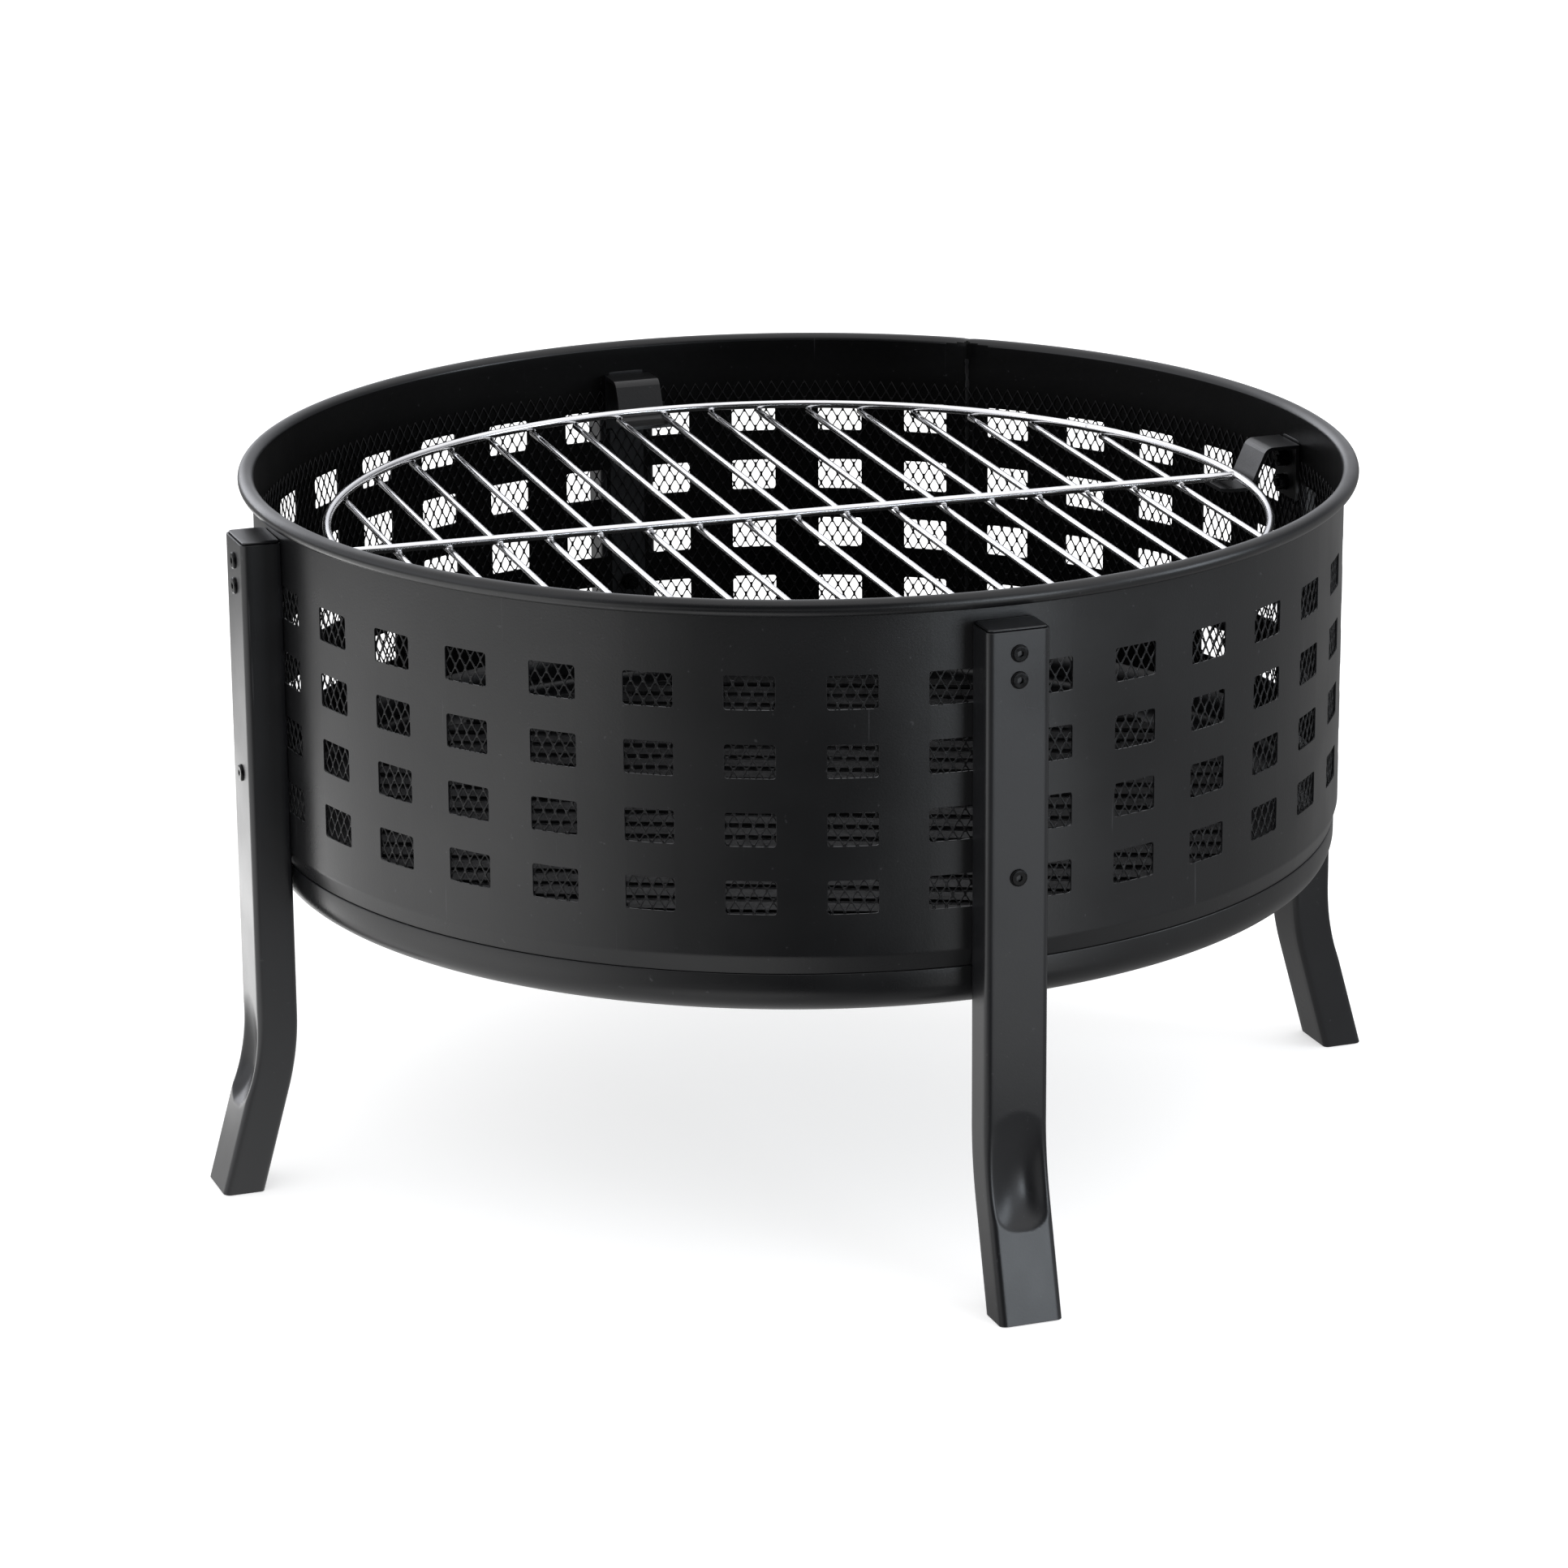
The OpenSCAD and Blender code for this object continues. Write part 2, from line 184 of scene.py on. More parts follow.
def wire(path, radius, sides=12, round_end=0.0006):
    """A round wire along a path of points, its two ends slightly rounded."""
    pts = [Vector(p) for p in path]
    first = (pts[1] - pts[0]).normalized()
    last = (pts[-1] - pts[-2]).normalized()
    rings = [(pts[0], radius - round_end, first), (pts[0] + first * round_end, radius, first)]
    for a, b, c in zip(pts, pts[1:], pts[2:]):
        rings.append((b, radius, (c - a).normalized()))
    rings += [(pts[-1] - last * round_end, radius, last), (pts[-1], radius - round_end, last)]
    verts = []
    for centre, r, along in rings:
        side = along.cross(Vector((0, 0, 1))).normalized()
        over = side.cross(along)
        for k in range(sides):
            a = 2 * math.pi * k / sides
            verts.append(tuple(centre + side * (r * math.cos(a)) + over * (r * math.sin(a))))
    faces = grid_faces(len(rings), sides, flip=True)
    n = len(verts)
    faces.append(tuple(range(sides)))
    faces.append(tuple(range(n - 1, n - sides - 1, -1)))
    return verts, faces


def blob(centre, along, size, rng, rings=7, sides=12):
    """A weld bead: an uneven flattened drop, longer along one direction."""
    along = Vector(along).normalized()
    side = along.cross(Vector((0, 0, 1))).normalized()
    up = side.cross(along)
    verts = [tuple(Vector(centre) + along * size[0])]
    for i in range(1, rings):
        t = math.pi * i / rings
        for k in range(sides):
            a = 2 * math.pi * k / sides
            swell = 1 + 0.12 * rng.uniform(-1, 1)
            p = (along * (size[0] * math.cos(t)) + side * (size[1] * swell * math.sin(t) * math.cos(a))
                 + up * (size[2] * swell * math.sin(t) * math.sin(a)))
            verts.append(tuple(Vector(centre) + p))
    verts.append(tuple(Vector(centre) - along * size[0]))
    faces = [(0, 1 + k, 1 + (k + 1) % sides) for k in range(sides)]
    for i in range(rings - 2):
        for k in range(sides):
            a, b = 1 + i * sides + k, 1 + i * sides + (k + 1) % sides
            faces.append((a, a + sides, b + sides, b))
    end = len(verts) - 1
    faces += [(end, end - sides + (k + 1) % sides, end - sides + k) for k in range(sides)]
    return verts, faces


# ---- materials ----------------------------------------------------------------

def set_range(node, low, high, out_low, out_high):
    """Sets a Map Range node to go smoothly between two outputs."""
    node.interpolation_type = "SMOOTHSTEP"
    limits = {"From Min": low, "From Max": high, "To Min": out_low, "To Max": out_high}
    for name, number in limits.items():
        node.inputs[name].default_value = number


class Nodes:
    """Short-hand for a material's node tree around one Principled shader."""

    def __init__(self, name, colour, roughness, metallic=0.0):
        self.mat = bpy.data.materials.new(name)
        self.mat.use_nodes = True
        self.tree = self.mat.node_tree
        self.shader = self.tree.nodes["Principled BSDF"]
        self.shader.inputs["Base Color"].default_value = (*colour, 1)
        self.shader.inputs["Roughness"].default_value = roughness
        self.shader.inputs["Metallic"].default_value = metallic
        self.where = self.tree.nodes.new("ShaderNodeTexCoord").outputs["Object"]
        self.normal = None

    def link(self, a, b):
        self.tree.links.new(a, b)

    def noise(self, scale, detail=2.0, stretch=(1, 1, 1), rough=0.5):
        mapping = self.tree.nodes.new("ShaderNodeMapping")
        mapping.inputs["Scale"].default_value = stretch
        self.link(self.where, mapping.inputs["Vector"])
        tex = self.tree.nodes.new("ShaderNodeTexNoise")
        tex.inputs["Scale"].default_value = scale
        tex.inputs["Detail"].default_value = detail
        tex.inputs["Roughness"].default_value = rough
        self.link(mapping.outputs["Vector"], tex.inputs["Vector"])
        return tex.outputs["Fac"]

    def span(self, value, low, high, out_low, out_high):
        node = self.tree.nodes.new("ShaderNodeMapRange")
        set_range(node, low, high, out_low, out_high)
        self.link(value, node.inputs["Value"])
        return node.outputs["Result"]

    def mix(self, factor, a, b):
        """Mixes two colours, or a colour socket and a colour, by a factor socket."""
        node = self.tree.nodes.new("ShaderNodeMix")
        node.data_type = "RGBA"
        self.link(factor, node.inputs["Factor"])
        for socket, value in (("A", a), ("B", b)):
            target = [s for s in node.inputs if s.name == socket and s.type == "RGBA"][0]
            if isinstance(value, tuple):
                target.default_value = (*value, 1)
            else:
                self.link(value, target)
        return [s for s in node.outputs if s.type == "RGBA"][0]

    def bump(self, height, distance, strength=1.0):
        node = self.tree.nodes.new("ShaderNodeBump")
        node.inputs["Distance"].default_value = distance
        node.inputs["Strength"].default_value = strength
        self.link(height, node.inputs["Height"])
        if self.normal is not None:
            self.link(self.normal, node.inputs["Normal"])
        self.normal = node.outputs["Normal"]

    def done(self, colour=None, roughness=None):
        if colour is not None:
            self.link(colour, self.shader.inputs["Base Color"])
        if roughness is not None:
            self.link(roughness, self.shader.inputs["Roughness"])
        if self.normal is not None:
            self.link(self.normal, self.shader.inputs["Normal"])
        return self.mat


def paint_material(name, colour, roughness, peel=0.00006, specular=0.5):
    """Powder coat: orange peel, slow gloss changes, fine upright scuffs and a little dust."""
    n = Nodes(name, colour, roughness)
    n.shader.inputs["Specular IOR Level"].default_value = specular
    tone = n.span(n.noise(6, 3), 0.3, 0.7, 0, 1)
    light = tuple(c * 1.4 + 0.001 for c in colour)
    dust = n.span(n.noise(260, 2), 0.70, 0.80, 0, 0.5)
    scuffs = n.span(n.noise(1, 1, (420, 420, 9)), 0.765, 0.83, 0, 0.4)
    mixed = n.mix(scuffs, n.mix(dust, n.mix(tone, colour, light), (0.04, 0.04, 0.043)), (0.06, 0.06, 0.065))
    rough = n.span(n.noise(9, 4), 0.25, 0.75, roughness - 0.05, roughness + 0.07)
    n.bump(n.noise(700, 2), peel, 0.8)
    n.bump(n.noise(14, 2), 0.0012, 0.25)
    return n.done(mixed, rough)


def oxide_material():
    n = Nodes("black_oxide_steel", (0.003, 0.003, 0.0034), 0.24)
    n.shader.inputs["Specular IOR Level"].default_value = 0.16
    lighter_flecks = n.span(n.noise(900, 3), 0.72, 0.82, 0, 0.3)
    n.bump(n.noise(1500, 2), 0.00002)
    return n.done(n.mix(lighter_flecks, (0.0012, 0.0012, 0.0014), (0.03, 0.03, 0.033)),
                  n.span(n.noise(300, 2), 0.3, 0.7, 0.18, 0.32))


def mesh_material():
    """Dark painted expanded steel with lighter flecks on the strands: painted glints."""
    n = Nodes("expanded_mesh_steel", (0.010, 0.010, 0.011), 0.42)
    n.shader.inputs["Specular IOR Level"].default_value = 0.3
    # Lighter flecks on the strands: painted glints.
    lighter_flecks = n.span(n.noise(1400, 2, (1, 1, 0.5)), 0.58, 0.72, 0, 0.5)
    n.bump(n.noise(1800, 2), 0.00005)
    return n.done(n.mix(lighter_flecks, (0.0035, 0.0035, 0.004), (0.05, 0.05, 0.053)),
                  n.span(n.noise(200, 2), 0.3, 0.7, 0.35, 0.5))


def chrome_material():
    """Bright plated wire: faint draw lines, slow haze and tiny pits."""
    n = Nodes("chrome_plate", (0.92, 0.92, 0.93), 0.14, 1.0)
    haze = n.span(n.noise(30, 4), 0.35, 0.7, 0, 1)
    pits = n.span(n.noise(1600, 1), 0.79, 0.84, 0, 0.35)
    n.bump(n.noise(900, 2), 0.000004, 0.4)
    return n.done(n.mix(pits, n.mix(haze, (0.95, 0.95, 0.96), (0.87, 0.87, 0.885)), (0.30, 0.29, 0.28)),
                  n.span(n.noise(45, 3), 0.3, 0.7, 0.12, 0.20))


def weld_material():
    n = Nodes("plated_weld", (0.7, 0.7, 0.71), 0.3, 1.0)
    burnt = n.span(n.noise(400, 2), 0.45, 0.7, 0, 0.8)
    n.bump(n.noise(1200, 2), 0.00008)
    return n.done(n.mix(burnt, (0.80, 0.80, 0.81), (0.30, 0.29, 0.28)),
                  n.span(n.noise(700, 2), 0.3, 0.7, 0.2, 0.4))


def log_material():
    """Hot-rolled slats under thin heat-proof paint: mill scale, rubbed lighter on top."""
    n = Nodes("log_grate_steel", (0.012, 0.012, 0.0125), 0.5)
    n.shader.inputs["Specular IOR Level"].default_value = 0.13
    scale = n.span(n.noise(40, 5), 0.35, 0.7, 0, 1)
    rub = n.span(n.noise(5, 2, (30, 30, 1)), 0.55, 0.75, 0, 0.5)
    n.bump(n.noise(500, 3), 0.00012)
    skin = n.mix(scale, (0.004, 0.004, 0.0042), (0.010, 0.010, 0.0105))
    return n.done(n.mix(rub, skin, (0.03, 0.03, 0.032)),
                  n.span(n.noise(80, 3), 0.3, 0.7, 0.4, 0.6))


# ---- drum, pan and liner ---------------------------------------------------------

drum_lo, drum_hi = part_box("drum_shell")
BEAD_X = drum_hi.x - BEAD_R
BEAD_Z = drum_hi.z - BEAD_R
WALL_IN_R = BEAD_X - BEAD_R
WALL_Z = drum_lo.z + SEAM_H
COL_PITCH = 360 / WINDOW_COLS


def window_z(row):
    """Lower and upper edge of a row of windows."""
    top = drum_hi.z - FIRST_ROW_TOP - row * ROW_PITCH
    return top - WINDOW_H, top


def rim_dent(degrees, z):
    """Inward dip of the sheet where its ends were welded under the rim."""
    off = degrees - WELD_ANGLE
    across = math.exp(-(off / 0.45) ** 2) + 0.35 * math.exp(-(off / 1.6) ** 2)
    return RIM_DENT * across * smooth((z - drum_hi.z + 0.028) / 0.02)


def drum_profile():
    """Inner face of the wall from the seam up, then round the outside of the rim's curl."""
    points = [(WALL_IN_R - SEAM_DRAW, drum_lo.z), (WALL_IN_R - SEAM_DRAW * 0.55, drum_lo.z + SEAM_H * 0.45),
              (WALL_IN_R - SEAM_DRAW * 0.10, WALL_Z - 0.0012), (WALL_IN_R, WALL_Z)]
    heights = {WALL_Z + 0.001, WALL_Z + 0.012}
    for row in range(WINDOW_ROWS):
        low, high = window_z(row)
        heights |= {low, low + WINDOW_CORNER, (low + high) / 2, high - WINDOW_CORNER, high}
        heights |= {high + (ROW_PITCH - WINDOW_H) / 2}
    heights |= {drum_hi.z - 0.034, drum_hi.z - 0.024, drum_hi.z - 0.017, drum_hi.z - 0.011}
    points += [(WALL_IN_R, z) for z in sorted(heights)]
    return points + arc(BEAD_X, BEAD_Z, BEAD_R, 180, CURL_END, 26)


def drum_angles():
    half = COL_PITCH * WINDOW_W_SHARE / 2
    corner = math.degrees(WINDOW_CORNER / WALL_IN_R)
    inside = [-half, corner - half, -0.8, 0.8, half - corner, half]
    between = [half + 1.25, COL_PITCH / 2, COL_PITCH - half - 1.25]
    angles = [c * COL_PITCH + s for c in range(WINDOW_COLS) for s in inside + between]
    angles += [WELD_ANGLE + s for s in (-0.6, -0.35, -0.15, 0.15, 0.35, 0.6)]
    return sorted(angles)


def in_window(degrees, z):
    """Says whether a point of the wall lies in a window's outline before its corners are rounded."""
    off = (degrees + COL_PITCH / 2) % COL_PITCH - COL_PITCH / 2
    if abs(off) > COL_PITCH * WINDOW_W_SHARE / 2:
        return None
    for row in range(WINDOW_ROWS):
        low, high = window_z(row)
        if low < z < high:
            return off, low, high
    return None


def build_drum(mat, inside_mat):
    """Wall, windows and rim as one sheet; the inner face gets a darker, less glossy copy of the paint:
    painted shade.
    """
    profile = drum_profile()
    angles = drum_angles()
    cols = len(angles)
    verts = []
    for r, z in profile:
        for a in angles:
            verts.append(polar(r - rim_dent(a, z), a, z))
    faces = []
    half = COL_PITCH * WINDOW_W_SHARE / 2
    corner = math.degrees(WINDOW_CORNER / WALL_IN_R)
    for i in range(len(profile) - 1):
        for j in range(cols):
            k = (j + 1) % cols
            a0, a1 = angles[j], angles[k] + (360 if k == 0 else 0)
            z0, z1 = profile[i][1], profile[i + 1][1]
            quad = (i * cols + j, i * cols + k, (i + 1) * cols + k, (i + 1) * cols + j)
            on_wall = profile[i][0] == WALL_IN_R == profile[i + 1][0]
            hole = in_window((a0 + a1) / 2, (z0 + z1) / 2) if on_wall else None
            if hole is None:
                faces.append(quad[::-1])
                continue
            off, low, high = hole
            at_side = abs(off) > half - corner
            at_end = not low + WINDOW_CORNER < (z0 + z1) / 2 < high - WINDOW_CORNER
            if at_side and at_end:
                top = (z0 + z1) / 2 > (low + high) / 2
                faces += corner_fan(verts, quad, (a0, a1), (z0, z1), off > 0, top)
    obj = piece("drum_wall_and_rim", verts, faces, mat, "fire_pit", "drum_paint", "drum_shell")
    # The inner face takes the darker copy of the paint: painted shade.
    obj.data.materials.append(inside_mat)
    for face in obj.data.polygons:
        if math.hypot(face.center.x, face.center.y) < WALL_IN_R + 0.0002:
            face.material_index = 1
    thicken(obj, SHEET)
    obj.modifiers["thickness"].material_offset = -1
    obj.modifiers["thickness"].material_offset_rim = -1
    soften(obj, 0.00022)
    return obj


def corner_fan(verts, quad, a, z, right, top, steps=4):
    """Fills one corner of a window: triangles from the sharp corner to the arc that rounds it."""
    # quad runs lower left, lower right, upper right, upper left
    sharp = quad[(2 if top else 1) if right else (3 if top else 0)]
    on_side = quad[(1 if top else 2) if right else (0 if top else 3)]
    on_end = quad[(3 if top else 0) if right else (2 if top else 1)]
    centre_a, side_a = (a[0], a[1]) if right else (a[1], a[0])
    centre_z, end_z = (z[0], z[1]) if top else (z[1], z[0])
    ids = [on_side]
    for s in range(1, steps):
        t = math.radians(90 * s / steps)
        verts.append(polar(WALL_IN_R, centre_a + (side_a - centre_a) * math.cos(t),
                           centre_z + (end_z - centre_z) * math.sin(t)))
        ids.append(len(verts) - 1)
    ids.append(on_end)
    fans = [(sharp, p, q) for p, q in zip(ids, ids[1:])]
    return fans if right == top else [f[::-1] for f in fans]


def build_weld_seam(mat):
    """The joint of the drum's sheet: a low ground-down weld line outside and inside."""
    rng = random.Random(SEED)
    verts, faces = [], []
    heights = [WALL_Z + 0.003 + (drum_hi.z - 0.017 - WALL_Z) * i / 90 for i in range(91)]
    section = [(-1.0, 0.0), (-0.6, 0.7), (0.0, 1.0), (0.6, 0.7), (1.0, 0.0)]
    for r, side in ((WALL_IN_R + SHEET - 0.00005, 1), (WALL_IN_R + 0.00005, -1)):
        rows = []
        for z in heights:
            width = SEAM_WELD_HALF_W * (1 + 0.2 * rng.uniform(-1, 1))
            shift = 0.0002 * rng.uniform(-1, 1)
            for s, h in section:
                turn = math.degrees((s * width + shift) / r)
                stand_out = side * (SEAM_WELD_H * h * (1 + 0.3 * rng.uniform(-1, 1)))
                out = r + stand_out - rim_dent(WELD_ANGLE + turn, z)
                rows.append(polar(out, WELD_ANGLE + turn, z))
        add_part(verts, faces, rows, grid_faces(len(heights), len(section), closed=False, flip=side < 0))
    return piece("drum_weld_seam", verts, faces, mat, "fire_pit", "drum_paint")


def build_pan(mat):
    low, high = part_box("base_pan")
    side_r = high.x
    corner = PAN_CORNER
    lip_r = side_r - PAN_LIP_INSET
    lip_z = drum_lo.z - PAN_LIP_GAP
    fold = PAN_FOLD
    profile = [(side_r * s, low.z) for s in (0.15, 0.3, 0.45, 0.6, 0.75, 0.88)]
    profile += arc(side_r - corner, low.z + corner, corner, -90, 0, 14)
    profile += arc(side_r - fold, lip_z - fold, fold, 0, 90, 4)
    profile += [(lip_r + fold, lip_z)] + arc(lip_r + fold, lip_z + fold, fold, 270, 180, 3)[1:]
    profile += [(lip_r, lip_z + 0.006), (lip_r, high.z)]
    sides = 288
    verts = [polar(r, 360 * j / sides, z) for r, z in profile for j in range(sides)]
    faces = grid_faces(len(profile), sides)
    verts.append((0, 0, low.z))
    centre = len(verts) - 1
    faces += [(centre, (j + 1) % sides, j) for j in range(sides)]
    obj = piece("base_pan_pressing", verts, faces, mat, "fire_pit", "drum_paint", "base_pan")
    thicken(obj, SHEET)
    return obj


def build_liner(mat):
    """Expanded-metal band: every diamond is a hole with clipped tips, its strands turned a little."""
    low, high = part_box("mesh_liner")
    r = high.x - 0.0002
    h = (high.z - low.z) / (DIAMOND_HALF_ROWS + 1)
    w = math.pi * r / DIAMOND_COLS
    slope = math.atan2(w, h)
    tip, flank = STRAND / math.sin(slope), STRAND / math.cos(slope)
    clip = 0.2
    verts, faces, nodes = [], [], {}

    def node(i, j):
        key = (i % (2 * DIAMOND_COLS), j)
        if key not in nodes:
            nodes[key] = len(verts)
            verts.append(polar(r, 180 * key[0] / DIAMOND_COLS, low.z + j * h))
        return nodes[key]

    for j in range(1, DIAMOND_HALF_ROWS + 1):
        for i in range(j % 2, 2 * DIAMOND_COLS, 2):
            corners = [node(i + 1, j), node(i, j + 1), node(i - 1, j), node(i, j - 1)]
            inner = [(w - flank, 0), (0, h - tip), (flank - w, 0), (0, tip - h)]
            ids = []
            for k in range(4):
                here, before, after = inner[k], inner[k - 1], inner[(k + 1) % 4]
                share = clip * (1.0 if k % 2 else 0.6)
                for other in (before, after):
                    x = here[0] + (other[0] - here[0]) * share
                    y = here[1] + (other[1] - here[1]) * share
                    turn = STRAND_TILT * y / h
                    angle = 180 * i / DIAMOND_COLS + math.degrees(x / r)
                    verts.append(polar(r + turn, angle, low.z + j * h + y))
                    ids.append(len(verts) - 1)
            for k in range(4):
                a, b = ids[2 * k], ids[2 * k + 1]
                faces.append((corners[k], b, a))
                faces.append((corners[k], corners[(k + 1) % 4], ids[(2 * k + 2) % 8], b))
    obj = piece("mesh_liner_strands", verts, faces, mat, "fire_pit", "mesh_steel", "mesh_liner")
    thicken(obj, LINER_T)
    return obj


# ---- legs ---------------------------------------------------------------------------

def leg_line(z, z_bend):
    """How far a face has moved out at a height, over a bend that is curved, not mitred."""
    drop = z_bend - z
    if drop <= -BEND_RUN:
        return 0.0
    if drop >= BEND_RUN:
        return drop * math.tan(FLARE)
    return math.tan(FLARE) * (drop + BEND_RUN) ** 2 / (4 * BEND_RUN)


def leg_section():
    """The tube's outline from above: across, share of the depth and corner offset, fine on the outer face."""
    half = LEG_W / 2
    c = LEG_CORNER
    out = [(-half + c + (LEG_W - 2 * c) * i / 26, 1.0, 0.0) for i in range(27)]
    for x, y in arc(0, 0, c, 90, 0, 6)[1:]:
        out.append((half - c + x, 1.0, y - c))
    out += [(half, s, 0.0) for s in (0.78, 0.64, 0.5, 0.36, 0.22)]
    for x, y in arc(0, 0, c, 0, -90, 6)[:-1]:
        out.append((half - c + x, 0.0, y + c))
    out += [(half - c - (LEG_W - 2 * c) * i / 6, 0.0, 0.0) for i in range(7)]
    for x, y in arc(0, 0, c, 270, 180, 6)[1:]:
        out.append((-half + c + x, 0.0, y + c))
    out += [(-half, s, 0.0) for s in (0.22, 0.36, 0.5, 0.64, 0.78)]
    for x, y in arc(0, 0, c, 180, 90, 6)[:-1]:
        out.append((-half + c + x, 1.0, y - c))
    return out


def dent(u, z, lean, depth):
    """Depth of the crush in the outer face at the bend: steep below, fading upwards, deeper on one side."""
    across = abs(u) / DENT_HALF_W
    if across >= 1:
        return 0.0
    lower = DENT_LOW + 0.011 * across ** 3
    upper = DENT_HIGH - 0.010 * across ** 2
    t = (z - lower) / (upper - lower)
    if not 0 < t < 1:
        return 0.0
    up_down = math.sin(math.pi * t ** 0.62) ** 1.35
    side = (1 - across ** 2.4) ** 1.1
    return depth * up_down * side * (1 + 0.45 * lean * u / 0.02)


def build_leg(name, degrees, lean, depth, mat):
    back = WALL_IN_R + SHEET + LEG_SEAT
    face = back + LEG_DEPTH
    shift = math.tan(FLARE / 2) * LEG_DEPTH / 2
    section = leg_section()
    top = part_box("leg_" + name)[1].z
    heights = [top - (top - BEND_TOP) * i / 10 for i in range(10)]
    heights += [BEND_TOP - (BEND_TOP - FOOT_TOP) * i / 64 for i in range(64)]
    heights += [FOOT_TOP - (FOOT_TOP - FOOT_END) * i / 6 for i in range(7)]
    verts = []
    for z in heights:
        back_r = back + leg_line(z, BEND_Z - shift)
        face_r = face + leg_line(z, BEND_Z + shift)
        for u, share, off in section:
            r = back_r + (face_r - back_r) * share + off
            if share == 1.0:
                r -= dent(u, z, lean, depth)
            verts.append((r, u, z))
    turn = Matrix.Rotation(math.radians(degrees), 4, "Z")
    verts = [tuple(turn @ Vector(v)) for v in verts]
    obj = piece("leg_tube_" + name, verts, grid_faces(len(heights), len(section)), mat,
                "fire_pit", "leg_paint", "leg_" + name)
    thicken(obj, LEG_T)
    soften(obj, 0.0003, 2, 60)
    return obj


def rounded_box(half_x, half_y, corner, steps=6):
    out = []
    for cx, cy, start in ((1, 1, 0), (-1, 1, 90), (-1, -1, 180), (1, -1, 270)):
        out += arc(cx * (half_x - corner), cy * (half_y - corner), corner, start, start + 90, steps)
    return out


def build_cap(name, degrees, mat):
    """Plug that closes a leg: a plate with a soft edge and a fine shadow line over the tube."""
    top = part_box("cap_" + name)[1].z
    base = top - CAP_T
    mid = WALL_IN_R + SHEET + LEG_SEAT + LEG_DEPTH / 2
    # height and inset of each ring, from the plug's foot up to the flat top
    levels = [(base - CAP_PLUG_H, CAP_PLUG_INSET), (base, CAP_PLUG_INSET), (base, 0.0004),
              (base + 0.0003, 0.0001), (base + 0.0006, 0.0), (top - 0.0006, 0.0),
              (top - 0.0003, 0.00012), (top - 0.0001, 0.0004), (top, 0.0009), (top, 0.004)]
    verts = []
    for z, inset in levels:
        corner = max(LEG_CORNER - inset * 0.6, 0.0008)
        verts += [(mid + x, y, z) for x, y in rounded_box(LEG_DEPTH / 2 - inset, LEG_W / 2 - inset, corner)]
    count = len(verts) // len(levels)
    faces = grid_faces(len(levels), count)
    faces.append(tuple(range((len(levels) - 1) * count, len(levels) * count)))
    faces.append(tuple(range(count - 1, -1, -1)))
    turn = Matrix.Rotation(math.radians(degrees), 4, "Z")
    verts = [tuple(turn @ Vector(v)) for v in verts]
    return piece("leg_cap_" + name, verts, faces, mat, "fire_pit", "leg_paint", "cap_" + name)


# ---- cooking grate ----------------------------------------------------------------------

ring_lo, ring_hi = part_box("grate_ring")
RING_R = ring_hi.x - RING_WIRE_R
RING_Z = (ring_lo.z + ring_hi.z) / 2
BAR_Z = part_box("grate_bars")[0].z + BAR_WIRE_R


def grate_point(x, y, z):
    c, s = math.cos(GRATE_TURN), math.sin(GRATE_TURN)
    return (x * c - y * s, x * s + y * c, z)


def build_grate(chrome, weld):
    """Ring, parallel bars under it, one cross wire on top of the bars, and the weld beads."""
    rng = random.Random(SEED + 1)
    steps, sides = 320, 16
    verts = []
    for i in range(steps):
        a = 360 * i / steps
        for k in range(sides):
            t = 2 * math.pi * k / sides
            verts.append(polar(RING_R + RING_WIRE_R * math.cos(t), a, RING_Z + RING_WIRE_R * math.sin(t)))
    faces = []
    for i in range(steps):
        n = (i + 1) % steps
        for k in range(sides):
            m = (k + 1) % sides
            faces.append((i * sides + k, n * sides + k, n * sides + m, i * sides + m))
    piece("grate_ring_wire", verts, faces, chrome, "cooking_grate", "chrome_wire", "grate_ring")

    verts, faces, welds, weld_faces = [], [], [], []
    for k in range(-BAR_SIDE, BAR_SIDE + 1):
        x = k * BAR_PITCH
        half = math.sqrt((RING_R + 0.001) ** 2 - x * x)
        path = [grate_point(x, half - 2 * half * i / 24, BAR_Z) for i in range(25)]
        add_part(verts, faces, *wire(path, BAR_WIRE_R))
        for sign in (-1, 1):
            y = sign * math.sqrt(RING_R ** 2 - x * x)
            along = grate_point(0, 1, 0)
            for out in (-1, 1):
                spot = grate_point(x + out * 0.0015, y - sign * 0.0004, (BAR_Z + RING_Z) / 2 - 0.0004)
                add_part(welds, weld_faces, *blob(spot, along, RING_WELD, rng))
        for out in (-1, 1):
            spot = grate_point(x, out * 0.0021, (BAR_Z + RING_Z) / 2 - 0.0003)
            add_part(welds, weld_faces, *blob(spot, grate_point(1, 0, 0), BAR_WELD, rng))
    piece("grate_bar_wires", verts, faces, chrome, "cooking_grate", "chrome_wire", "grate_bars")

    half = RING_R - RING_WIRE_R / 2
    path = [grate_point(half - 2 * half * i / 24, 0, RING_Z) for i in range(25)]
    piece("grate_cross_wire", *wire(path, RING_WIRE_R, 16), chrome, "cooking_grate", "chrome_wire",
          "grate_cross_bar")
    for sign in (-1, 1):
        spot = grate_point(sign * (RING_R - RING_WIRE_R), 0, RING_Z)
        add_part(welds, weld_faces, *blob(spot, grate_point(0, 1, 0), CROSS_WELD, rng))
    ring_joint = polar(RING_R, BUTT_WELD_ANGLE, RING_Z)
    add_part(welds, weld_faces, *blob(ring_joint, polar(1, BUTT_WELD_ANGLE + 90, 0), BUTT_WELD, rng))
    piece("grate_welds", welds, weld_faces, weld, "cooking_grate", "chrome_wire")


# ---- pieces kept from the CAD ------------------------------------------------------------------

def finish_nodes(names, mat, edge, angle=35):
    """Gives carried-over CAD nodes a material and soft edges."""
    for name in names:
        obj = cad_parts[name]
        if obj.material_slots:
            for s in obj.material_slots:
                s.material = mat
        else:
            obj.data.materials.append(mat)
        soften(obj, edge, 2, angle)


# ---- stage ------------------------------------------------------------------------------------

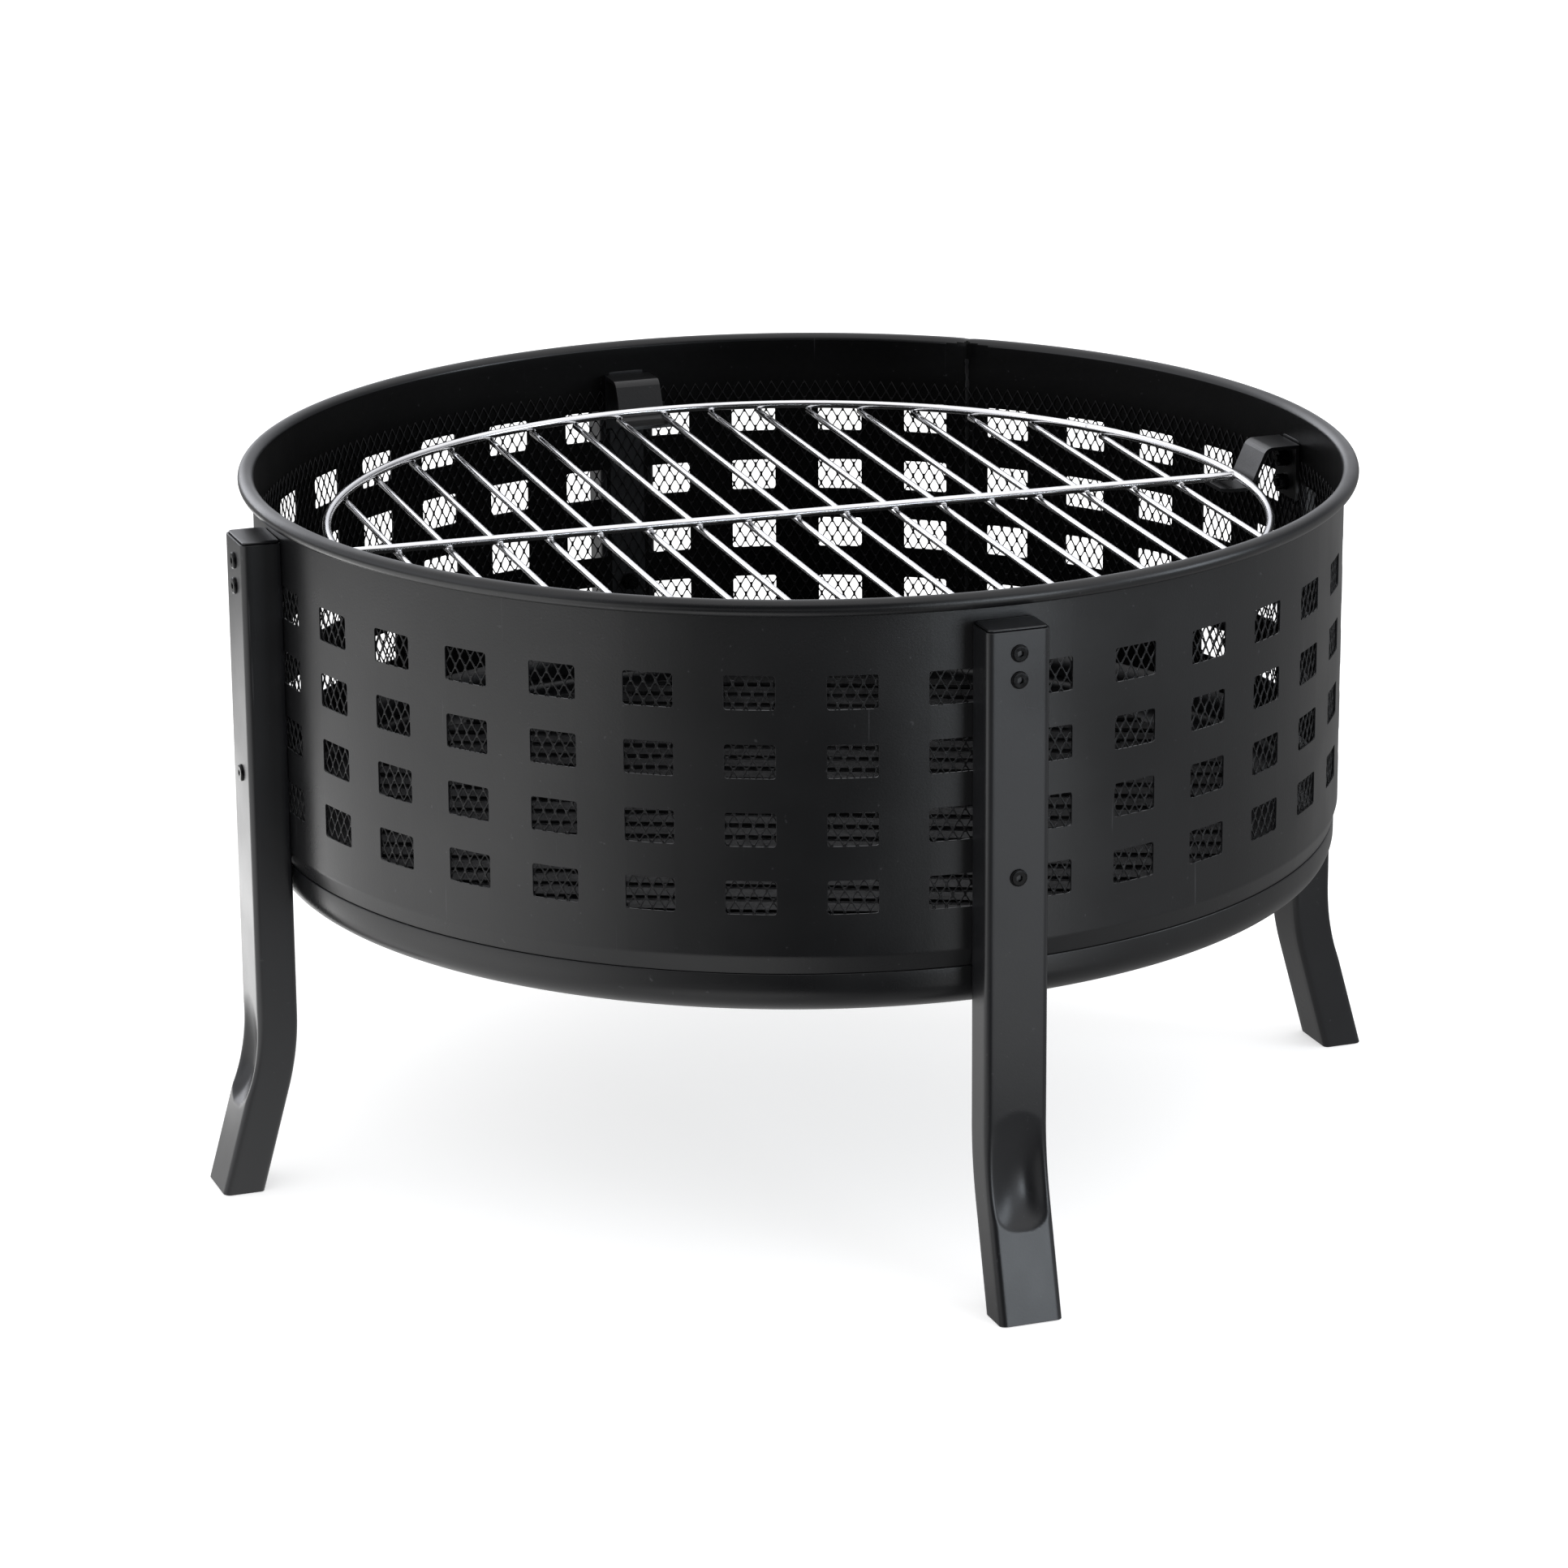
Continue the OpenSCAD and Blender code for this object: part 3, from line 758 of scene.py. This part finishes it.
STUDIO_TURN = math.radians(25.03)   # the camera's and the lights' turn round the pit


def studio(x, y, z):
    """A point given seen from the camera: x right, y away, z up."""
    return Matrix.Rotation(STUDIO_TURN, 4, "Z") @ Vector((x, y, z))


def math_node(tree, operation, a, b=None):
    node = tree.nodes.new("ShaderNodeMath")
    node.operation = operation
    for socket, value in zip(node.inputs, (a, b)):
        if isinstance(value, (int, float)):
            socket.default_value = value
        elif value is not None:
            tree.links.new(value, socket)
    return node.outputs[0]


def pool(tree, where, centre, inner, outer, at_centre, outside):
    """A soft round patch on the floor: one value inside, another outside."""
    distance = tree.nodes.new("ShaderNodeVectorMath")
    distance.operation = "DISTANCE"
    tree.links.new(where, distance.inputs[0])
    distance.inputs[1].default_value = studio(*centre, 0)
    node = tree.nodes.new("ShaderNodeMapRange")
    set_range(node, inner, outer, at_centre, outside)
    tree.links.new(distance.outputs["Value"], node.inputs["Value"])
    return node.outputs["Result"]


FLOOR_HALF = 40
FLOOR_COLOUR = (0.80, 0.80, 0.805, 1)
FLOOR_GLOW = 0.58
# Pools of the floor that only reflections see: centre, full and fading radius, brightness inside and outside.
LIGHT_POOL = ((-1.35, -0.60), 0.30, 1.9, 1.75, 0.33)
DARK_POOL = ((0.12, -1.33), 0.50, 1.15, 0.005, 1.0)
# Smaller, brighter pools: centre, full and fading radius, added brightness.
FLOOR_SPOTS = [((-0.12, -0.66), 0.06, 0.24, 0.6), ((0.80, -1.02), 0.10, 0.40, 1.3),
               ((0.50, -0.78), 0.08, 0.26, 1.1), ((-1.0, 0.75), 0.15, 0.50, 2.1),
               ((-0.72, 0.30), 0.10, 0.34, 2.4)]


def build_floor():
    """White sweep. What the black paint mirrors of it is darker in front, as in a studio with flags."""
    mesh = bpy.data.meshes.new("floor")
    signs = ((-1, -1), (1, -1), (1, 1), (-1, 1))
    mesh.from_pydata([(x * FLOOR_HALF, y * FLOOR_HALF, 0) for x, y in signs], [], [(0, 1, 2, 3)])
    floor = bpy.data.objects.new("floor", mesh)
    bpy.context.scene.collection.objects.link(floor)
    mat = bpy.data.materials.new("floor_white")
    mat.use_nodes = True
    tree = mat.node_tree
    tree.nodes.clear()
    out = tree.nodes.new("ShaderNodeOutputMaterial")
    seen = tree.nodes.new("ShaderNodeAddShader")
    diffuse = tree.nodes.new("ShaderNodeBsdfDiffuse")
    diffuse.inputs["Color"].default_value = FLOOR_COLOUR
    glow = tree.nodes.new("ShaderNodeEmission")
    glow.inputs["Strength"].default_value = FLOOR_GLOW
    tree.links.new(diffuse.outputs[0], seen.inputs[0])
    tree.links.new(glow.outputs[0], seen.inputs[1])
    where = tree.nodes.new("ShaderNodeTexCoord").outputs["Object"]
    total = math_node(tree, "MULTIPLY", pool(tree, where, *LIGHT_POOL), pool(tree, where, *DARK_POOL))
    for centre, inner, outer, value in FLOOR_SPOTS:
        total = math_node(tree, "ADD", total, pool(tree, where, centre, inner, outer, value, 0.0))
    mirrored = tree.nodes.new("ShaderNodeEmission")
    tree.links.new(total, mirrored.inputs["Strength"])
    choose = tree.nodes.new("ShaderNodeMixShader")
    path = tree.nodes.new("ShaderNodeLightPath")
    tree.links.new(path.outputs["Is Glossy Ray"], choose.inputs[0])
    tree.links.new(seen.outputs[0], choose.inputs[1])
    tree.links.new(mirrored.outputs[0], choose.inputs[2])
    tree.links.new(choose.outputs[0], out.inputs["Surface"])
    mesh.materials.append(mat)


# Brightness of the studio's surround low down, by angle from the camera, left negative, in half turns.
SURROUND = [(-1.0, 0.9), (-0.78, 3.2), (-0.68, 0.8), (-0.55, 1.1), (-0.4, 1.5), (-0.24, 0.7), (-0.12, 0.10),
            (0.0, 0.0), (0.12, 0.02), (0.24, 0.6), (0.36, 0.7), (0.5, 0.3), (0.72, 0.2), (1.0, 0.9)]
SURROUND_TINT = (0.97, 0.985, 1.04)
SKY = (1.1, 1.1, 1.12, 1)
SKY_RISE = (0.25, 0.8)              # upward parts of a direction between which the surround turns to sky
FLAG = (0.05, -0.97, 0.22)          # direction of the dark flag over the camera
FLAG_EDGE = (0.60, 0.94)            # cosines at its soft outer and inner edge

# Place, width, watts and colour of each light.
SOFTBOXES = [((1.46, -1.90, 0.45), 0.8, 12.0, (0.86, 0.93, 1.0)),
             ((2.3, -0.45, 0.80), 0.8, 9.0, (0.84, 0.92, 1.0))]
LIGHT_TARGET_Z = 0.2


def build_world():
    world = bpy.data.worlds.new("studio")
    bpy.context.scene.world = world
    world.use_nodes = True
    tree = world.node_tree
    background = tree.nodes["Background"]
    direction = tree.nodes.new("ShaderNodeTexCoord").outputs["Generated"]
    turn = tree.nodes.new("ShaderNodeVectorRotate")
    turn.rotation_type = "Z_AXIS"
    turn.inputs["Angle"].default_value = -STUDIO_TURN
    tree.links.new(direction, turn.inputs["Vector"])
    split = tree.nodes.new("ShaderNodeSeparateXYZ")
    tree.links.new(turn.outputs[0], split.inputs[0])
    angle = math_node(tree, "ARCTAN2", split.outputs[0], math_node(tree, "MULTIPLY", split.outputs[1], -1))
    share = math_node(tree, "ADD", math_node(tree, "DIVIDE", angle, 2 * math.pi), 0.5)
    ramp = tree.nodes.new("ShaderNodeValToRGB")
    ramp.color_ramp.interpolation = "EASE"
    for i, (at, value) in enumerate(SURROUND):
        stops = ramp.color_ramp.elements
        stop = stops[i] if i < 2 else stops.new(1.0)
        stop.position = (at + 1) / 2
        stop.color = (*(value * tint for tint in SURROUND_TINT), 1)
    tree.links.new(share, ramp.inputs["Fac"])
    height = tree.nodes.new("ShaderNodeMapRange")
    set_range(height, *SKY_RISE, 0, 1)
    tree.links.new(split.outputs[2], height.inputs["Value"])
    dot = tree.nodes.new("ShaderNodeVectorMath")
    dot.operation = "DOT_PRODUCT"
    dot.inputs[1].default_value = Vector(FLAG).normalized()
    tree.links.new(turn.outputs[0], dot.inputs[0])
    flag = tree.nodes.new("ShaderNodeMapRange")
    set_range(flag, *FLAG_EDGE, 1, 0)
    tree.links.new(dot.outputs["Value"], flag.inputs["Value"])
    sky = tree.nodes.new("ShaderNodeMix")
    sky.data_type = "RGBA"
    path = tree.nodes.new("ShaderNodeLightPath")
    tree.links.new(height.outputs[0], sky.inputs["Factor"])
    colours = [s for s in sky.inputs if s.type == "RGBA"]
    tree.links.new(ramp.outputs["Color"], colours[0])
    colours[1].default_value = SKY
    pick = tree.nodes.new("ShaderNodeMix")
    pick.data_type = "RGBA"
    tree.links.new(path.outputs["Is Glossy Ray"], pick.inputs["Factor"])
    colours = [s for s in pick.inputs if s.type == "RGBA"]
    colours[0].default_value = (1, 1, 1, 1)
    shaded = tree.nodes.new("ShaderNodeVectorMath")
    shaded.operation = "SCALE"
    tree.links.new([s for s in sky.outputs if s.type == "RGBA"][0], shaded.inputs[0])
    tree.links.new(flag.outputs[0], shaded.inputs["Scale"])
    tree.links.new(shaded.outputs[0], colours[1])
    tree.links.new([s for s in pick.outputs if s.type == "RGBA"][0], background.inputs["Color"])


def build_softbox(number, place, width, power, colour):
    data = bpy.data.lights.new("softbox_%d" % number, "AREA")
    data.shape = "SQUARE"
    data.size = width
    data.energy = power
    data.color = colour
    light = bpy.data.objects.new("softbox_%d" % number, data)
    bpy.context.scene.collection.objects.link(light)
    light.location = studio(*place)
    aim = studio(0, 0, LIGHT_TARGET_Z) - light.location
    light.rotation_euler = aim.to_track_quat("-Z", "Y").to_euler()


CAMERA_RISE = math.radians(17.2)
CAMERA_ROLL = math.radians(-0.42)
CAMERA_AIM = (-0.01122, 0, 0.240)
CAMERA_DISTANCE = 3.968
CAMERA_LENS = 130.98
CAMERA_SENSOR = 36


def build_camera():
    aim = Vector(CAMERA_AIM)
    ahead = Vector((0, math.cos(CAMERA_RISE), -math.sin(CAMERA_RISE)))
    over = Vector((0, math.sin(CAMERA_RISE), math.cos(CAMERA_RISE)))
    across = Vector((1, 0, 0))
    right = across * math.cos(CAMERA_ROLL) + over * math.sin(CAMERA_ROLL)
    up = over * math.cos(CAMERA_ROLL) - across * math.sin(CAMERA_ROLL)
    data = bpy.data.cameras.new("camera")
    data.sensor_width = CAMERA_SENSOR
    data.lens = CAMERA_LENS
    camera = bpy.data.objects.new("camera", data)
    bpy.context.scene.collection.objects.link(camera)
    axes = Matrix((right, up, -ahead)).transposed().to_4x4()
    place = Matrix.Translation(aim - ahead * CAMERA_DISTANCE) @ axes
    camera.matrix_world = Matrix.Rotation(STUDIO_TURN, 4, "Z") @ place
    bpy.context.scene.camera = camera


# ---- making it all --------------------------------------------------------------------------------

drum_paint = paint_material("drum_powder_coat", (0.0030, 0.0031, 0.0036), 0.31)
leg_paint = paint_material("leg_powder_coat", (0.0045, 0.0047, 0.0056), 0.31, 0.00004)
oxide = oxide_material()
chrome = chrome_material()
log_steel = log_material()

# Darker, less glossy copy of the drum paint for the drum's inner face: painted shade.
inner_shade_paint = paint_material("drum_inner_shade_paint", (0.0011, 0.0011, 0.0012), 0.36, 0.00008, 0.10)
build_drum(drum_paint, inner_shade_paint)
build_weld_seam(drum_paint)
build_pan(drum_paint)
build_liner(mesh_material())
for number, (leg, degrees) in enumerate(LEGS.items()):
    build_leg(leg, degrees, DENT_LEAN[number], DENT_DEPTH + DENT_STEP * number, leg_paint)
    build_cap(leg, degrees, leg_paint)
build_grate(chrome, weld_material())
finish_nodes(["bracket_" + leg for leg in LEGS], drum_paint, 0.0004)
finish_nodes([kind + leg for kind in ("screws_", "washers_", "nuts_") for leg in LEGS], oxide, 0.0002, 40)
finish_nodes(["log_hoop", "log_slats", "log_stretchers", "log_feet"], log_steel, 0.0003)

build_floor()
build_world()
for number, box in enumerate(SOFTBOXES):
    build_softbox(number, *box)
build_camera()
bpy.context.scene.view_settings.view_transform = "Standard"
